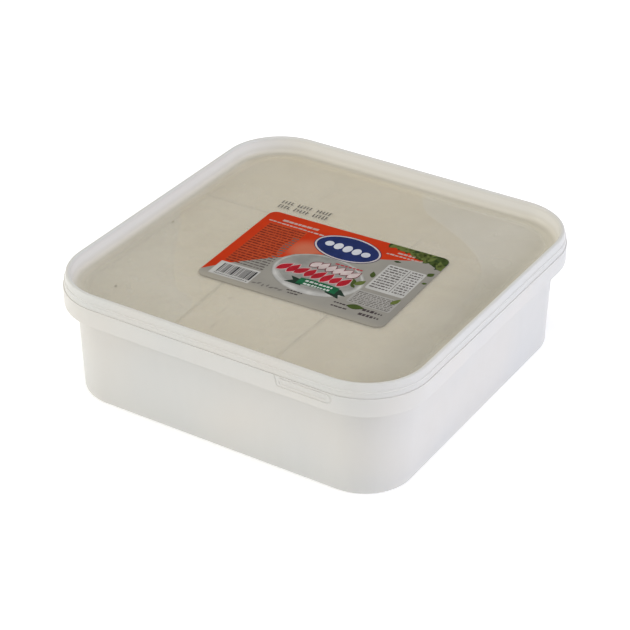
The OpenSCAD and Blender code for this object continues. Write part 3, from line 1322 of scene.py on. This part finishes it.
def make_leaves():
    """The leaves along the top right, and the loose ones."""
    rng = random.Random(61)
    shades = {"dark": (44, 62, 24), "mid": (66, 82, 34), "light": (98, 110, 54)}
    groups = {key: [] for key in shades}
    for _ in range(LEAVES):
        u = 22 + 42 * rng.random() ** 0.75
        deep = 2.5 + 11.5 * max(0.0, (u - 28) / 36) ** 1.1
        v = 46 - rng.uniform(0, deep)
        outline = leaf(u, v, rng.uniform(5, 9.5), rng.uniform(2.6, 4.6), rng.uniform(0, 180))
        groups[rng.choice(list(shades))].append(clipped(outline, LABEL_SHAPE))
    loose = [
        ("dark", 35.9, 27.5, 4.6, 2.0, 10), ("mid", 60.7, 23.4, 5.5, 4.0, 60),
        ("mid", 62.0, 12.4, 3.4, 2.2, 20), ("mid", 30.2, 6.4, 7.4, 3.4, 110),
        ("mid", 23.8, -6.6, 7.5, 4.0, 120), ("light", 28.4, -6.2, 8.4, 4.4, 62),
        ("mid", 25.8, -11.2, 5.6, 2.4, 140), ("light", 57.2, -15.2, 8.6, 3.6, 70),
        ("mid", 39.4, -31.8, 11.2, 5.4, 8),
    ]
    for shade_name, u, v, length, width, turn in loose:
        groups[shade_name].append(leaf(u, v, length, width, turn))
    ground = [(36, 46), (36, 43.5), (46, 40), (53, 36), (60, 33.5), (64, 34.5), (64, 46)]
    groups["dark"].append(clipped(ground, LABEL_SHAPE))
    for level, (key, rgb) in enumerate(shades.items(), 8):
        printed("leaves_" + key, groups[key], level, rgb, size=3)


def make_label():
    make_fields()
    make_plate()
    make_small_print()
    make_headings()
    make_barcode()
    make_weights()
    make_crest()
    make_name_rows()
    make_ribbon()
    make_leaves()


# Where each group of ink-jet marks starts, and how many strokes it has
DATE_GROUPS = ((-64.5, 4), (-53.0, 5), (-39.0, 5))
DATE_ROWS = (59.2, 53.4)
DATE_PITCH = 2.2
DATE_TALL = 4.4


def make_date_marks():
    """Two rows of ink-jet marks behind the label, as plain upright strokes in three groups."""
    rng = random.Random(71)
    marks = []
    for left, count in DATE_GROUPS:
        for row, v in enumerate(DATE_ROWS):
            for k in range(count):
                u = left + DATE_PITCH * k + 0.4 * row
                tall = DATE_TALL * rng.uniform(0.75, 1.0)
                marks.append(rectangle(u, u + 0.65, v - tall / 2, v + tall / 2))
                if rng.random() < 0.6:
                    level = v + rng.choice((-0.32, 0.0, 0.32)) * DATE_TALL
                    marks.append(rectangle(u + 0.95, u + 1.55, level - 0.3, level + 0.3))
    bm = slabs(marks, PANEL_Z - 0.01, PANEL_Z + 0.02)
    sag(bm)
    look = ink("date", (70, 66, 64))
    return dress(to_object("date_marks", bm), look.material, "label_print")


# --- floor and studio

FLOOR_HALF = 3.0


def make_floor():
    bm = bmesh.new()
    bmesh.ops.create_grid(bm, x_segments=8, y_segments=8, size=FLOOR_HALF / MM)
    floor = to_object("floor", bm)
    floor.data.materials.append(floor_look())


# The photograph's angle on the pack, in degrees, and its distance, in metres
CAMERA_TURN = 32.04
CAMERA_RISE = 31.49
CAMERA_ROLL = 0.11
CAMERA_DISTANCE = 1.2125
CAMERA_LENS = 113.95
CAMERA_AIM = Vector((0.0086, -0.0189, 0.0441))


def make_camera():
    data = bpy.data.cameras.new("camera")
    data.lens = CAMERA_LENS
    data.sensor_width = 36
    camera = bpy.data.objects.new("camera", data)
    scene.collection.objects.link(camera)
    turn = math.radians(CAMERA_TURN)
    rise = math.radians(CAMERA_RISE)
    back = Vector((math.sin(turn) * math.cos(rise), -math.cos(turn) * math.cos(rise),
                   math.sin(rise)))
    right = Vector((math.cos(turn), math.sin(turn), 0))
    up = back.cross(right)
    roll = math.radians(CAMERA_ROLL)
    level = right * math.cos(roll) + up * math.sin(roll)
    upright = up * math.cos(roll) - right * math.sin(roll)
    camera.matrix_world = Matrix.Translation(CAMERA_AIM + back * CAMERA_DISTANCE) @ Matrix(
        (level, upright, back)).transposed().to_4x4()
    scene.camera = camera


def area_light(name, place, power, size, colour):
    """A square soft light that faces the pack."""
    data = bpy.data.lights.new(name, "AREA")
    data.energy = power
    data.size = size
    data.color = colour
    light = bpy.data.objects.new(name, data)
    light.location = place
    aim = Vector((0, 0, 0.04)) - Vector(place)
    light.rotation_euler = aim.to_track_quat("-Z", "Y").to_euler()
    scene.collection.objects.link(light)


SKY_LEFT = (1.0, 0.975, 0.93, 1)
SKY_RIGHT = (0.95, 0.965, 1.0, 1)
SKY_STRENGTH = 0.52


def make_sky():
    """An even white surround, a little warmer on the left and cooler on the right."""
    world = bpy.data.worlds.new("studio")
    scene.world = world
    world.use_nodes = True
    nodes = world.node_tree.nodes
    links = world.node_tree.links
    split = nodes.new("ShaderNodeSeparateXYZ")
    links.new(nodes.new("ShaderNodeTexCoord").outputs["Generated"], split.inputs["Vector"])
    across = nodes.new("ShaderNodeMapRange")
    across.inputs["From Min"].default_value = -1
    links.new(split.outputs["X"], across.inputs["Value"])
    mix = nodes.new("ShaderNodeMix")
    mix.data_type = "RGBA"
    mix.inputs[6].default_value = SKY_LEFT
    mix.inputs[7].default_value = SKY_RIGHT
    links.new(across.outputs["Result"], mix.inputs["Factor"])
    links.new(mix.outputs[2], nodes["Background"].inputs["Color"])
    nodes["Background"].inputs["Strength"].default_value = SKY_STRENGTH


# Each light: its name, place in metres, power in watts, size in metres and colour
LIGHTS = (
    ("top", (0.1, -0.3, 1.8), 12, 1.6, (1.0, 0.99, 0.97)),
    ("left", (-1.3, -1.0, 0.5), 8, 1.0, (1.0, 0.98, 0.93)),
    ("right", (1.4, 0.3, 0.45), 8.5, 1.0, (0.73, 0.755, 1.0)),
)


def make_studio():
    make_sky()
    for light in LIGHTS:
        area_light(*light)
    scene.view_settings.view_transform = "Standard"


# --- everything

make_tub()
make_lid()
cheese = cheese_look()
BLOCKS = ("cheese_left", "cheese_corner", "cheese_middle", "cheese_right")
for number, block in enumerate(BLOCKS, 1):
    make_cheese(block, cheese, number)
make_brine()
make_cut_shade()
make_specks()
make_label()
make_date_marks()
make_floor()
make_studio()
make_camera()
